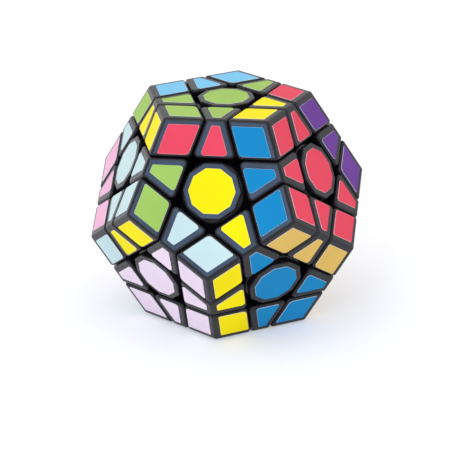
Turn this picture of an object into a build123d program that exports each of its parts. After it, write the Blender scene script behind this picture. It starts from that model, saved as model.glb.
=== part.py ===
from build123d import *
import os
from math import acos, asin, atan, cos, degrees, radians, sin, sqrt, tan

# Dodecahedron twisty puzzle: twelve turning faces, each with one centre, five edges
# and five corners, on a round core that hides the screws, springs and washers.
# Millimetres. The origin is the middle of the core and the puzzle rests on its bottom
# face, so +Z is the axis of the top face. The front face looks towards -Y.

# ---- driving dimensions -------------------------------------------------------------
across_faces = 69.0        # plastic to plastic, between two opposite faces
corner_share = 0.41        # side of a corner piece's rhombus, as a share of a face's side
gap = 0.26                 # running gap between the heads of two neighbouring pieces
hidden_gap = 0.24          # running gap between their stems and feet
ridge_rounding = 1.1       # where two shown faces of a piece meet
rim_rounding = 0.75        # where a shown face meets a cut
corner_tip_rounding = 1.7  # on the edges that run inwards from a piece's inner corners
edge_tip_rounding = 1.3

shoulder_radius = 33.0     # where the flat layer cuts turn into cones
stem_radius = 32.5         # how far out a stem reaches inside its head
hook_radius = 27.0         # sphere on which the feet are held down
core_clear_radius = 16.0   # sphere that the feet stay outside
foot_angle = 50.0          # half-angle of a layer at foot level

disc_radius = 9.5          # round shoulder of a centre, just wider than its cap
disc_foot_radius = 8.65    # the shoulder narrows towards its foot
disc_taper_top = 29.5
disc_top = 32.3
disc_rounding = 1.1
stem_foot_radius = 3.55    # centre stem at the core
stem_neck_radius = 5.9     # centre stem where the disc begins
well_radius = 3.4          # room for the spring and the screw head
well_floor = 19.0
screw_clearance_radius = 1.4
cap_across_flats = 16.8
cap_rounding = 0.35
cap_collar_depth = 2.4
cap_collar_wall = 0.6
cap_fit = 0.05

sticker_thickness = 0.2
sticker_rim = 0.06
sticker_margin = 1.15      # bare plastic between a sticker and its piece's inner sides
sticker_end_margin = 1.9   # the same beside an edge piece's corner neighbours
sticker_outer_margin = 1.8 # the same along the sides of the whole face
corner_sticker_rounding = 1.6
edge_sticker_rounding = 0.9
sticker_outer_corner = 0.4
centre_sticker_across_flats = 13.5

core_radius = 15.6
core_wall = 2.0
boss_radius = 3.0
boss_inner_end = 8.0
boss_outer_end = 15.0
pilot_radius = 1.15
lip_radius = 14.3
lip_wall = 0.6
lip_height = 1.0
lip_fit = 0.05

screw_tip = 9.0
screw_shank_radius = 1.1
screw_head_base = 25.5
screw_head_height = 1.7
screw_head_radius = 2.6
screw_slot_length = 3.0
screw_slot_width = 0.6
screw_slot_depth = 0.8
washer_radius = 2.9
washer_hole_radius = 1.25
washer_thickness = 0.4
spring_radius = 2.15
spring_wire_radius = 0.3
spring_turns = 5
spring_end_gap = 0.15

flush_limit = 0.01         # nearer than this counts as lying on a face
tangent_limit = 5.0        # faces that meet at less than this angle run smoothly on

# ---- the dodecahedron ---------------------------------------------------------------
golden = (1 + sqrt(5)) / 2
face_radius = across_faces / 2
face_side = face_radius * 2 * sqrt(3 - golden) / golden**2
vertex_radius = face_side * sqrt(3) * golden / 2
pentagon_inradius = face_side / (2 * tan(radians(36)))
blank_radius = 1.3 * vertex_radius

face_to_face = degrees(atan(2))
face_to_edge = face_to_face / 2
edge_to_third_face = 90 - face_to_edge
face_to_corner = degrees(acos(face_radius / vertex_radius))

# The layer cut meets a face on a line parallel to each side, this far from the middle.
cut_depth = corner_share * face_side * sin(radians(72))
cut_line = pentagon_inradius - cut_depth
layer_height = face_radius - cut_depth * sin(radians(face_to_face))
layer_angle = degrees(acos(layer_height / shoulder_radius))


def direction(polar, azimuth):
    """Unit vector at a polar angle from +Z and an azimuth from +X, in degrees."""
    tilt = radians(polar)
    turn = radians(azimuth)
    return Vector(sin(tilt) * cos(turn), sin(tilt) * sin(turn), cos(tilt))


lower_polar = 180 - face_to_face
face_axes = {
    "top": direction(0, 0),
    "front": direction(face_to_face, -90),
    "right": direction(face_to_face, -18),
    "back_right": direction(face_to_face, 54),
    "back_left": direction(face_to_face, 126),
    "left": direction(face_to_face, 198),
    "lower_right": direction(lower_polar, -54),
    "lower_back_right": direction(lower_polar, 18),
    "lower_back": direction(lower_polar, 90),
    "lower_back_left": direction(lower_polar, 162),
    "lower_left": direction(lower_polar, 234),
    "bottom": direction(180, 0),
}
# The four faces whose pieces share one node for each kind.
rear_faces = ("lower_back_right", "lower_back", "lower_back_left", "bottom")


def neighbours(face, other):
    """True when two different faces share a side."""
    return face != other and face_axes[face].get_angle(face_axes[other]) < face_to_face + 1


def axis_plane(axis, distance=0.0):
    """Plane square to an axis, at a distance from the core's middle."""
    return Plane(origin=axis * distance, z_dir=axis)


# ---- the layer that turns with one face ---------------------------------------------
def profile_point(radius, polar, shift=0.0):
    """A point at a radius, beside the radial line at a polar angle by a sideways shift."""
    angle = radians(polar) + asin(shift / radius)
    return (radius * sin(angle), radius * cos(angle))


def layer_region(growth):
    """Everything that turns with the +Z face, grown or shrunk by part of a running gap.

    Its boundary is turned about the face's axis, so the layer can turn to any angle:
    a flat cut outside, a cone past the stems, a sphere that the feet hook under and a
    wider cone down to the core.
    """
    height = layer_height - growth
    hook = hook_radius + growth
    floor = core_clear_radius - growth
    hook_middle = (layer_angle + foot_angle) / 2
    tilt = radians(layer_angle)
    reach = (height + growth * sin(tilt)) / cos(tilt)
    with BuildPart() as region:
        with BuildSketch(Plane.XZ):
            with BuildLine():
                Polyline(
                    (0, floor),
                    (0, blank_radius),
                    (blank_radius, blank_radius),
                    (blank_radius, height),
                    (reach * sin(tilt) + growth * cos(tilt), height),
                    profile_point(hook, layer_angle, growth),
                )
                ThreePointArc(
                    profile_point(hook, layer_angle, growth),
                    profile_point(hook, hook_middle),
                    profile_point(hook, foot_angle, growth),
                )
                Line(
                    profile_point(hook, foot_angle, growth),
                    profile_point(floor, foot_angle, growth),
                )
                ThreePointArc(
                    profile_point(floor, foot_angle, growth),
                    profile_point(floor, foot_angle / 2),
                    (0, floor),
                )
            make_face()
        revolve(axis=Axis.Z)
    return region.part


layer_inside = layer_region(-gap / 2)
layer_outside = layer_region(hidden_gap - gap / 2)


def shown_sides(edge, own_axes):
    """How many of a piece's shown faces an edge lies on."""
    heights = [edge.center().dot(axis) for axis in own_axes]
    return sum(abs(height - face_radius) < flush_limit for height in heights)


def is_sharp(edge, solid):
    """True when the two faces of a solid beside an edge meet at an angle."""
    beside = [face for face in solid.faces() if edge in face.edges()]
    normals = [face.normal_at(edge @ 0.5) for face in beside]
    return normals[0].get_angle(normals[-1]) > tangent_limit


def piece_plastic(own_axes, other_axes, tip_rounding):
    """The plastic of an edge or a corner piece that points along +Z.

    own_axes are the faces that it shows, and other_axes are the faces next to it,
    whose layers turn past it.
    """
    with BuildPart() as head:
        Sphere(blank_radius)
        for axis in own_axes:
            split(bisect_by=axis_plane(axis, face_radius), keep=Keep.BOTTOM)
            split(bisect_by=axis_plane(axis, layer_height + gap / 2), keep=Keep.TOP)
        for axis in other_axes:
            split(bisect_by=axis_plane(axis, layer_height - gap / 2), keep=Keep.BOTTOM)
        shown = [head.faces().sort_by(Axis((0, 0, 0), axis))[-1] for axis in own_axes]
        shown_edges = ShapeList(edge for face in shown for edge in face.edges())
        inward = head.edges() - shown_edges
        if other_axes:
            inward = inward.sort_by(Axis.Z)[1:]
        fillet(inward, tip_rounding)
        ridges = head.edges().filter_by(lambda edge: shown_sides(edge, own_axes) == 2)
        fillet(ridges, ridge_rounding)
        outer = head.edges().filter_by(lambda edge: edge.center().length > shoulder_radius)
        rims = outer.filter_by(lambda edge: is_sharp(edge, head.part))
        fillet(rims, rim_rounding)

    with BuildPart() as plastic:
        Sphere(stem_radius)
        for axis in own_axes:
            add(layer_inside.moved(axis_plane(axis).location), mode=Mode.INTERSECT)
        add(head.part)
        for axis in other_axes:
            add(layer_outside.moved(axis_plane(axis).location), mode=Mode.SUBTRACT)
    return plastic.part


# ---- stickers -----------------------------------------------------------------------
def meeting_point(first, second):
    """Where two lines cross. Each is (azimuth of its normal, distance from the middle)."""
    turn_a = radians(first[0])
    turn_b = radians(second[0])
    spread = sin(turn_b - turn_a)
    x = (first[1] * sin(turn_b) - second[1] * sin(turn_a)) / spread
    y = (second[1] * cos(turn_a) - first[1] * cos(turn_b)) / spread
    return (x, y)


def corner_points(sides):
    """The corners of a polygon whose sides are given in order around it."""
    return [meeting_point(side, after) for side, after in zip(sides, sides[1:] + sides[:1])]


def face_plane(axis, towards):
    """The plane of a shown face, its local X pointing towards a direction."""
    flat = towards - axis * axis.dot(towards)
    return Plane(origin=axis * face_radius, x_dir=flat, z_dir=axis)


def sticker(plane, sides, inner_rounding):
    """A thin film on a face, with its own rounding on the corners nearest the centre."""
    inner_limit = (pentagon_inradius + cut_line) / 2
    with BuildPart() as film:
        with BuildSketch(plane) as outline:
            Polygon(*corner_points(sides), align=None)
            spots = outline.vertices()
            inner = spots.filter_by(lambda spot: Vector(spot.X, spot.Y).length < inner_limit)
            fillet(inner, inner_rounding)
            spots = outline.vertices()
            outer = spots.filter_by(lambda spot: Vector(spot.X, spot.Y).length > inner_limit)
            if outer:
                fillet(outer, sticker_outer_corner)
        extrude(amount=sticker_thickness)
        upper = film.faces().sort_by(Axis(plane.origin, plane.z_dir))[-1]
        chamfer(upper.edges(), sticker_rim)
    return film.part


outer_side = pentagon_inradius - sticker_outer_margin
own_cut_side = cut_line + gap / 2 + sticker_margin
other_cut_side = cut_line - gap / 2 - sticker_end_margin

# ---- corner piece, pointing along +Z ------------------------------------------------
corner_axes = [direction(face_to_corner, azimuth) for azimuth in (0, 120, 240)]
corner_sides = [(36, outer_side), (-36, outer_side), (36, own_cut_side), (-36, own_cut_side)]
corner = [piece_plastic(corner_axes, [], corner_tip_rounding)]
for axis in corner_axes:
    plane = face_plane(axis, Vector(0, 0, 1))
    corner.append(sticker(plane, corner_sides, corner_sticker_rounding))

# ---- edge piece, pointing along +Z with its edge along X ----------------------------
edge_axes = [direction(face_to_edge, azimuth) for azimuth in (90, -90)]
end_axes = [direction(edge_to_third_face, azimuth) for azimuth in (0, 180)]
edge_sides = [(0, outer_side), (72, other_cut_side), (0, own_cut_side), (-72, other_cut_side)]
edge = [piece_plastic(edge_axes, end_axes, edge_tip_rounding)]
for axis in edge_axes:
    plane = face_plane(axis, Vector(0, 0, 1))
    edge.append(sticker(plane, edge_sides, edge_sticker_rounding))

# ---- centre, pointing along +Z ------------------------------------------------------
hook_clearance = hook_radius + gap / 2
neck_height = sqrt(hook_clearance**2 - stem_neck_radius**2)
disc_base = sqrt(hook_clearance**2 - disc_foot_radius**2)
stem_end = core_clear_radius + gap / 2
with BuildPart() as centre_base:
    with BuildSketch(Plane.XZ):
        with BuildLine():
            Polyline(
                (disc_foot_radius, disc_base),
                (disc_radius, disc_taper_top),
                (disc_radius, disc_top),
                (well_radius, disc_top),
                (well_radius, well_floor),
                (screw_clearance_radius, well_floor),
                (screw_clearance_radius, stem_end),
                (stem_foot_radius, stem_end),
                (stem_neck_radius, neck_height),
            )
            RadiusArc(
                (stem_neck_radius, neck_height),
                (disc_foot_radius, disc_base),
                hook_clearance,
            )
        make_face()
    revolve(axis=Axis.Z)
    disc_rim = centre_base.edges().filter_by(GeomType.CIRCLE).group_by(Axis.Z)[-1]
    fillet(disc_rim.sort_by(SortBy.RADIUS)[-1], disc_rounding)

cap_apothem = cap_across_flats / 2
collar_radius = well_radius - cap_fit
with BuildPart() as centre_cap:
    with BuildSketch(Plane.XY.offset(disc_top)):
        Polygon(*corner_points([(36 * side, cap_apothem) for side in range(10)]), align=None)
    extrude(amount=face_radius - disc_top)
    fillet(centre_cap.edges().group_by(Axis.Z)[-1], cap_rounding)
    with BuildSketch(Plane.XY.offset(disc_top)):
        Circle(collar_radius)
        Circle(collar_radius - cap_collar_wall, mode=Mode.SUBTRACT)
    extrude(amount=-cap_collar_depth)

centre_face = face_plane(Vector(0, 0, 1), Vector(1, 0, 0))
centre_sides = [(36 * side, centre_sticker_across_flats / 2) for side in range(10)]
centre_sticker = sticker(centre_face, centre_sides, sticker_outer_corner)
centre = [centre_base.part, centre_cap.part, centre_sticker]

# ---- core: a hollow ball in two halves, with a boss under every centre --------------
with BuildPart() as core_ball:
    Sphere(core_radius)
    Sphere(core_radius - core_wall, mode=Mode.SUBTRACT)
    for axis in face_axes.values():
        with BuildSketch(axis_plane(axis, boss_inner_end)):
            Circle(boss_radius)
        extrude(amount=boss_outer_end - boss_inner_end)
    for axis in face_axes.values():
        with BuildSketch(axis_plane(axis, boss_inner_end - core_wall)):
            Circle(pilot_radius)
        extrude(amount=core_radius, mode=Mode.SUBTRACT)


def lip_ring(slack):
    """The ring that locates one core half in the other, made larger by a slack."""
    with BuildPart() as ring:
        with BuildSketch(Plane.XY):
            Circle(lip_radius + lip_wall / 2 + slack)
            Circle(lip_radius - lip_wall / 2 - slack, mode=Mode.SUBTRACT)
        extrude(amount=lip_height + slack)
    return ring.part


with BuildPart() as core_upper:
    add(core_ball.part)
    split(bisect_by=Plane.XY, keep=Keep.TOP)
    add(lip_ring(lip_fit), mode=Mode.SUBTRACT)
core_upper.part.label = "core_upper_half"

with BuildPart() as core_lower:
    add(core_ball.part)
    split(bisect_by=Plane.XY, keep=Keep.BOTTOM)
    add(lip_ring(0))
core_lower.part.label = "core_lower_half"

# ---- screw, washer and spring, on +Z ------------------------------------------------
screw_head_top = screw_head_base + screw_head_height
with BuildPart() as screw:
    with BuildSketch(Plane.XY.offset(screw_tip)):
        Circle(screw_shank_radius)
    extrude(amount=screw_head_base - screw_tip)
    chamfer(screw.edges().group_by(Axis.Z)[0], screw_shank_radius / 3)
    with BuildSketch(Plane.XY.offset(screw_head_base)):
        Circle(screw_head_radius)
    extrude(amount=screw_head_height)
    fillet(screw.edges().group_by(Axis.Z)[-1], screw_head_height / 3)
    with BuildSketch(Plane.XY.offset(screw_head_top)):
        Rectangle(screw_slot_length, screw_slot_width)
        Rectangle(screw_slot_width, screw_slot_length)
    extrude(amount=-screw_slot_depth, mode=Mode.SUBTRACT)

washer_base = screw_head_base - washer_thickness
with BuildPart() as washer:
    with BuildSketch(Plane.XY.offset(washer_base)):
        Circle(washer_radius)
        Circle(washer_hole_radius, mode=Mode.SUBTRACT)
    extrude(amount=washer_thickness)

spring_start = well_floor + spring_end_gap + spring_wire_radius
spring_height = washer_base - spring_wire_radius - spring_start
with BuildPart() as spring:
    with BuildLine(Plane.XY.offset(spring_start)) as coil:
        Helix(pitch=spring_height / spring_turns, height=spring_height, radius=spring_radius)
    with BuildSketch(Plane(origin=coil.line @ 0, z_dir=coil.line % 0)):
        Circle(spring_wire_radius)
    sweep(is_frenet=True)


# ---- places -------------------------------------------------------------------------
def centre_plane(face):
    axis = face_axes[face]
    beside = next(face_axes[other] for other in face_axes if neighbours(face, other))
    return Plane(origin=(0, 0, 0), x_dir=beside - axis * axis.dot(beside), z_dir=axis)


def edge_plane(faces):
    first, second = [face_axes[face] for face in faces]
    outward = (first + second).normalized()
    across = (first - second).normalized()
    return Plane(origin=(0, 0, 0), x_dir=across.cross(outward), z_dir=outward)


def corner_plane(faces):
    first, second, third = [face_axes[face] for face in faces]
    outward = (first + second + third).normalized()
    return Plane(origin=(0, 0, 0), x_dir=first - outward * outward.dot(first), z_dir=outward)


def placed(pieces, plane):
    return [piece.moved(plane.location) for piece in pieces]


def write_node(label, pieces):
    node = Compound(label=label, children=pieces)
    export_step(node, f"parts/{label}.step")


def write_kind(kind, pieces, places):
    """One node for each piece of a kind, and one for those that only rear faces show."""
    rear_group = []
    for faces, plane in places.items():
        if all(face in rear_faces for face in faces):
            rear_group += placed(pieces, plane)
        else:
            write_node("_".join((kind,) + faces), placed(pieces, plane))
    write_node(f"{kind}s_lower_rear", rear_group)


names = list(face_axes)
centre_places = {(face,): centre_plane(face) for face in names}
edge_places = {}
corner_places = {}
for index, face in enumerate(names):
    for other in names[index + 1:]:
        if neighbours(face, other):
            edge_places[(face, other)] = edge_plane((face, other))
for pair in edge_places:
    for third in names[names.index(pair[1]) + 1:]:
        if neighbours(pair[0], third) and neighbours(pair[1], third):
            corner_places[pair + (third,)] = corner_plane(pair + (third,))

os.makedirs("parts", exist_ok=True)
write_kind("centre", centre, centre_places)
write_kind("edge", edge, edge_places)
write_kind("corner", corner, corner_places)
export_step(core_upper.part, "parts/core_upper_half.step")
export_step(core_lower.part, "parts/core_lower_half.step")
for label, piece in {"screws": screw, "washers": washer, "springs": spring}.items():
    row = [piece.part.moved(axis_plane(axis).location) for axis in face_axes.values()]
    write_node(label, row)
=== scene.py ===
from math import atan, cos, pi, radians, sin

import bpy
from mathutils import Matrix, Vector


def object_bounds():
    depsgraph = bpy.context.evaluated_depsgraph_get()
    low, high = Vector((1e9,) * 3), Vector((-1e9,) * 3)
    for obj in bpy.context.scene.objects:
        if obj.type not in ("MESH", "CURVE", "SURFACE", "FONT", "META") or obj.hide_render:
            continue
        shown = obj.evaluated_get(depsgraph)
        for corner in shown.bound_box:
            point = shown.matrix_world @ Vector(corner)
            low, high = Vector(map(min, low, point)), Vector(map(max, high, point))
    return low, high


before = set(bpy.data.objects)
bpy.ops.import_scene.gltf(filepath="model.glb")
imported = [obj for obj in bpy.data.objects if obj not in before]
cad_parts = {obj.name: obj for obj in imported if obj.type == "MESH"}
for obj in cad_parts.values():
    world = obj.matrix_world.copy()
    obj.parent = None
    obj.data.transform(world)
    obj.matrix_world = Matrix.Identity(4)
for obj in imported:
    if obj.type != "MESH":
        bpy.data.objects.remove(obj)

MM = 0.001
cad_low, cad_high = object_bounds()

# ---- the puzzle's shape, from the frame ----------------------------------------------
STICKER_THICKNESS = 0.2 * MM
FACE_RADIUS = cad_high[2] - STICKER_THICKNESS   # middle of the core to a plastic face
LAYER_SHARE = 0.687                             # height of a layer's cut, as a share of it
LAYER_HEIGHT = LAYER_SHARE * FACE_RADIUS
RING_ELEVATION = atan(0.5)


def ring_axis(azimuth, elevation):
    """Unit vector at an azimuth in degrees and an elevation in radians."""
    turn = radians(azimuth)
    return Vector((cos(elevation) * cos(turn), cos(elevation) * sin(turn), sin(elevation)))


FACES = {
    "top": Vector((0, 0, 1)),
    "front": ring_axis(-90, RING_ELEVATION),
    "right": ring_axis(-18, RING_ELEVATION),
    "back_right": ring_axis(54, RING_ELEVATION),
    "back_left": ring_axis(126, RING_ELEVATION),
    "left": ring_axis(198, RING_ELEVATION),
    "lower_right": ring_axis(-54, -RING_ELEVATION),
    "lower_back_right": ring_axis(18, -RING_ELEVATION),
    "lower_back": ring_axis(90, -RING_ELEVATION),
    "lower_back_left": ring_axis(162, -RING_ELEVATION),
    "lower_left": ring_axis(234, -RING_ELEVATION),
    "bottom": Vector((0, 0, -1)),
}

# ---- sticker colours ------------------------------------------------------------------
# The colour of each face when the puzzle is solved.
SOLVED = {
    "top": "light_green",
    "front": "yellow",
    "right": "coral_red",
    "back_right": "purple",
    "back_left": "sky_blue",
    "left": "pale_cyan",
    "lower_right": "blue",
    "lower_back_right": "gold",
    "lower_back": "orange",
    "lower_back_left": "pink",
    "lower_left": "lavender",
    "bottom": "dark_green",
}
# The faces turned since then, each by a fifth of a turn clockwise, seen from outside.
SCRAMBLE = ("lower_left", "left", "top", "right")
FIFTH = 2 * pi / 5

FILM = {
    "light_green": (0.335, 0.52, 0.105),
    "yellow": (0.92, 0.75, 0.0),
    "coral_red": (0.76, 0.062, 0.105),
    "purple": (0.145, 0.045, 0.28),
    "sky_blue": (0.19, 0.53, 0.77),
    "pale_cyan": (0.54, 0.69, 0.69),
    "blue": (0.006, 0.225, 0.485),
    "gold": (0.71, 0.46, 0.11),
    "orange": (0.93, 0.27, 0.02),
    "pink": (0.83, 0.44, 0.60),
    "lavender": (0.82, 0.67, 0.78),
    "dark_green": (0.02, 0.20, 0.055),
}


def nearest_face(vector):
    return max(FACES, key=lambda name: FACES[name].dot(vector))


def sticker_colour(own_faces, shown_face):
    """The colour on one face of a piece, found by undoing the scramble on that piece."""
    own = [FACES[name] for name in own_faces]
    shown = FACES[shown_face]
    for turned in reversed(SCRAMBLE):
        if turned in [nearest_face(vector) for vector in own]:
            undo = Matrix.Rotation(FIFTH, 3, FACES[turned])
            own = [undo @ vector for vector in own]
            shown = undo @ shown
    return SOLVED[nearest_face(shown)]


# ---- materials ------------------------------------------------------------------------
def new_material(name):
    """An empty node material with its shader, and a source of object coordinates for
    noise.
    """
    material = bpy.data.materials.new(name)
    material.use_nodes = True
    tree = material.node_tree
    tree.nodes.clear()
    output = tree.nodes.new("ShaderNodeOutputMaterial")
    shader = tree.nodes.new("ShaderNodeBsdfPrincipled")
    tree.links.new(shader.outputs["BSDF"], output.inputs["Surface"])
    place = tree.nodes.new("ShaderNodeTexCoord")
    return material, tree, shader, place


def noise(tree, place, scale, detail=3.0):
    """A smooth pattern of about this many patches to the metre."""
    node = tree.nodes.new("ShaderNodeTexNoise")
    node.inputs["Scale"].default_value = scale
    node.inputs["Detail"].default_value = detail
    tree.links.new(place.outputs["Object"], node.inputs["Vector"])
    return node


# The noise values that stand for the two ends of a colour and of a number.
COLOUR_NOISE = (0.35, 0.65)
NUMBER_NOISE = (0.3, 0.7)


def ramp(tree, source, low, high):
    """Colours between two ends of a noise value."""
    node = tree.nodes.new("ShaderNodeValToRGB")
    node.color_ramp.elements[0].position = COLOUR_NOISE[0]
    node.color_ramp.elements[1].position = COLOUR_NOISE[1]
    node.color_ramp.elements[0].color = (*low, 1)
    node.color_ramp.elements[1].color = (*high, 1)
    tree.links.new(source.outputs["Fac"], node.inputs["Fac"])
    return node


def span(tree, source, low, high):
    """A number between two ends of a noise value."""
    node = tree.nodes.new("ShaderNodeMapRange")
    node.inputs["From Min"].default_value = NUMBER_NOISE[0]
    node.inputs["From Max"].default_value = NUMBER_NOISE[1]
    node.inputs["To Min"].default_value = low
    node.inputs["To Max"].default_value = high
    tree.links.new(source.outputs["Fac"], node.inputs["Value"])
    return node


def bump(tree, source, shader, strength, height):
    """Small relief in the shading, of a height in metres."""
    node = tree.nodes.new("ShaderNodeBump")
    node.inputs["Strength"].default_value = strength
    node.inputs["Distance"].default_value = height
    tree.links.new(source.outputs["Fac"], node.inputs["Height"])
    tree.links.new(node.outputs["Normal"], shader.inputs["Normal"])


def scaled(colour, factor):
    """A colour made lighter or darker."""
    return tuple(min(1.0, channel * factor) for channel in colour)


def plastic(name, colour, low_roughness, high_roughness):
    """Moulded black plastic: a slight mottle, uneven gloss and a fine moulded grain."""
    material, tree, shader, place = new_material(name)
    mottle = ramp(
        tree, noise(tree, place, scale=90), scaled(colour, 0.8), scaled(colour, 1.25)
    )
    tree.links.new(mottle.outputs["Color"], shader.inputs["Base Color"])
    gloss = span(tree, noise(tree, place, scale=160), low_roughness, high_roughness)
    tree.links.new(gloss.outputs["Result"], shader.inputs["Roughness"])
    shader.inputs["Specular IOR Level"].default_value = 0.28
    grain = noise(tree, place, scale=2600, detail=2.0)
    bump(tree, grain, shader, strength=0.12, height=0.03 * MM)
    return material


def film(name, colour):
    """Printed vinyl film: an even colour with a faint drift, and an orange-peel gloss."""
    material, tree, shader, place = new_material(name)
    drift = ramp(
        tree, noise(tree, place, scale=55), scaled(colour, 0.96), scaled(colour, 1.03)
    )
    tree.links.new(drift.outputs["Color"], shader.inputs["Base Color"])
    gloss = span(tree, noise(tree, place, scale=240), low=0.42, high=0.50)
    tree.links.new(gloss.outputs["Result"], shader.inputs["Roughness"])
    shader.inputs["Specular IOR Level"].default_value = 0.07
    peel = noise(tree, place, scale=1100, detail=2.0)
    bump(tree, peel, shader, strength=0.08, height=0.02 * MM)
    return material


def steel(name):
    """Bright zinc-plated steel, with fine turning marks."""
    material, tree, shader, place = new_material(name)
    shader.inputs["Metallic"].default_value = 1.0
    plating = ramp(
        tree, noise(tree, place, scale=400), (0.52, 0.52, 0.54), (0.66, 0.66, 0.67)
    )
    tree.links.new(plating.outputs["Color"], shader.inputs["Base Color"])
    gloss = span(tree, noise(tree, place, scale=900), low=0.22, high=0.36)
    tree.links.new(gloss.outputs["Result"], shader.inputs["Roughness"])
    turning_marks = noise(tree, place, scale=3000)
    bump(tree, turning_marks, shader, strength=0.1, height=0.01 * MM)
    return material


BLACK_COLOUR = (0.012, 0.0105, 0.0135)
CORE_COLOUR = (0.035, 0.035, 0.04)
BLACK = plastic("black_plastic", BLACK_COLOUR, low_roughness=0.20, high_roughness=0.28)
CORE = plastic("core_plastic", CORE_COLOUR, low_roughness=0.45, high_roughness=0.55)
STEEL = steel("zinc_steel")
FILMS = {name: film("sticker_" + name, colour) for name, colour in FILM.items()}

# The cut edge of a film is painted paler. This is partly its white backing showing there,
# and partly a painted highlight along the sticker rims.
CUT_EDGE_HIGHLIGHT_TINT = 0.45


def paler(colour):
    """A colour mixed with some white, used as the painted highlight on sticker edges."""
    return tuple(channel + (1 - channel) * CUT_EDGE_HIGHLIGHT_TINT for channel in colour)


CUT_EDGE_HIGHLIGHTS = {
    name: film("sticker_edge_highlight_" + name, paler(colour)) for name, colour in FILM.items()
}

# ---- finishing the CAD pieces ---------------------------------------------------------
FILM_STEP = 0.02 * MM      # how far above the plastic a polygon is part of a sticker
FLAT = 0.99                # cosine above which a polygon lies flat on its face


def material_slot(mesh, material):
    """The index of a material on a mesh, added if it isn't there yet."""
    index = mesh.materials.find(material.name)
    if index < 0:
        mesh.materials.append(material)
        index = len(mesh.materials) - 1
    return index


def finish_piece(piece):
    """Black plastic all over, and a film on each raised sticker in its own colour, with a
    paler film on its cut edges as a painted highlight.
    """
    mesh = piece.data
    mesh.materials.clear()
    mesh.materials.append(BLACK)
    for polygon in mesh.polygons:
        face = nearest_face(polygon.center)
        axis = FACES[face]
        top = max(mesh.vertices[index].co.dot(axis) for index in polygon.vertices)
        if top < FACE_RADIUS + FILM_STEP:
            polygon.material_index = 0
            continue
        own = [name for name in FACES if polygon.center.dot(FACES[name]) > LAYER_HEIGHT]
        colour = sticker_colour(own, face)
        # A sticker's sides take the paler cut-edge film: partly its white backing, partly
        # a painted highlight.
        upper = polygon.normal.dot(axis) > FLAT
        finish = FILMS[colour] if upper else CUT_EDGE_HIGHLIGHTS[colour]
        polygon.material_index = material_slot(mesh, finish)


def finish_inner(piece, material):
    """One material all over a hidden piece."""
    piece.data.materials.clear()
    piece.data.materials.append(material)
    for polygon in piece.data.polygons:
        polygon.material_index = 0


INNER = {
    "core_upper_half": CORE,
    "core_lower_half": CORE,
    "screws": STEEL,
    "washers": STEEL,
    "springs": STEEL,
}
for name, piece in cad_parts.items():
    if name in INNER:
        finish_inner(piece, INNER[name])
    else:
        finish_piece(piece)

# ---- floor ----------------------------------------------------------------------------
FLOOR_SIZE = 4.0
half = FLOOR_SIZE / 2
floor_corners = [(-half, -half, 0), (half, -half, 0), (half, half, 0), (-half, half, 0)]
floor_mesh = bpy.data.meshes.new("floor")
floor_mesh.from_pydata(floor_corners, [], [(0, 1, 2, 3)])
floor = bpy.data.objects.new("floor", floor_mesh)
floor.location.z = cad_low[2]
bpy.context.scene.collection.objects.link(floor)
floor_material, tree, shader, place = new_material("pale_floor")
tone = ramp(tree, noise(tree, place, scale=3), (0.65, 0.65, 0.66), (0.67, 0.67, 0.68))
tree.links.new(tone.outputs["Color"], shader.inputs["Base Color"])
shader.inputs["Roughness"].default_value = 0.9
shader.inputs["Specular IOR Level"].default_value = 0.1
# Painted light: the floor glows faintly bluish, which lightens and blues its shadow and
# lights the puzzle's lower faces.
shader.inputs["Emission Color"].default_value = (0.9, 0.93, 1.0, 1)
shader.inputs["Emission Strength"].default_value = 0.38
floor_mesh.materials.append(floor_material)

# ---- light ----------------------------------------------------------------------------
world = bpy.data.worlds.new("studio")
bpy.context.scene.world = world
world.use_nodes = True
background = world.node_tree.nodes["Background"]
background.inputs["Color"].default_value = (1.0, 1.0, 1.0, 1)
background.inputs["Strength"].default_value = 1.0


def softbox(name, place, size, power, colour):
    """A square area light aimed at the puzzle's middle."""
    light = bpy.data.lights.new(name, "AREA")
    light.size = size
    light.energy = power
    light.color = colour
    lamp = bpy.data.objects.new(name, light)
    lamp.location = place
    lamp.rotation_euler = Vector(place).to_track_quat("Z", "Y").to_euler()
    bpy.context.scene.collection.objects.link(lamp)


softbox(
    "key",
    place=(-0.25, -0.45, 0.80),
    size=0.5,
    power=1.12,
    colour=(1.0, 0.97, 0.96),
)
# A small bluish light, placed so that the plastic of the front face mirrors it.
softbox(
    "front_fill",
    place=(-0.12, -0.80, 0.50),
    size=0.24,
    power=1.7,
    colour=(0.26, 0.52, 0.95),
)

# ---- camera ---------------------------------------------------------------------------
CAMERA_AZIMUTH = -81.5
CAMERA_ELEVATION = 21.5
CAMERA_ROLL = -0.6
CAMERA_DISTANCE = 0.846
FIELD_OF_VIEW = 9.44
AIM = Vector((-0.0005, 0.0, -0.0077))

camera_data = bpy.data.cameras.new("camera")
camera_data.sensor_fit = "HORIZONTAL"
camera_data.angle = radians(FIELD_OF_VIEW)
camera_data.clip_start = 0.01
camera = bpy.data.objects.new("camera", camera_data)
outward = ring_axis(CAMERA_AZIMUTH, radians(CAMERA_ELEVATION))
camera.location = AIM + outward * CAMERA_DISTANCE
aim_turn = outward.to_track_quat("Z", "Y").to_matrix()
roll_turn = Matrix.Rotation(radians(CAMERA_ROLL), 3, outward)
camera.rotation_euler = (roll_turn @ aim_turn).to_euler()
bpy.context.scene.collection.objects.link(camera)
bpy.context.scene.camera = camera
bpy.context.scene.view_settings.view_transform = "Standard"
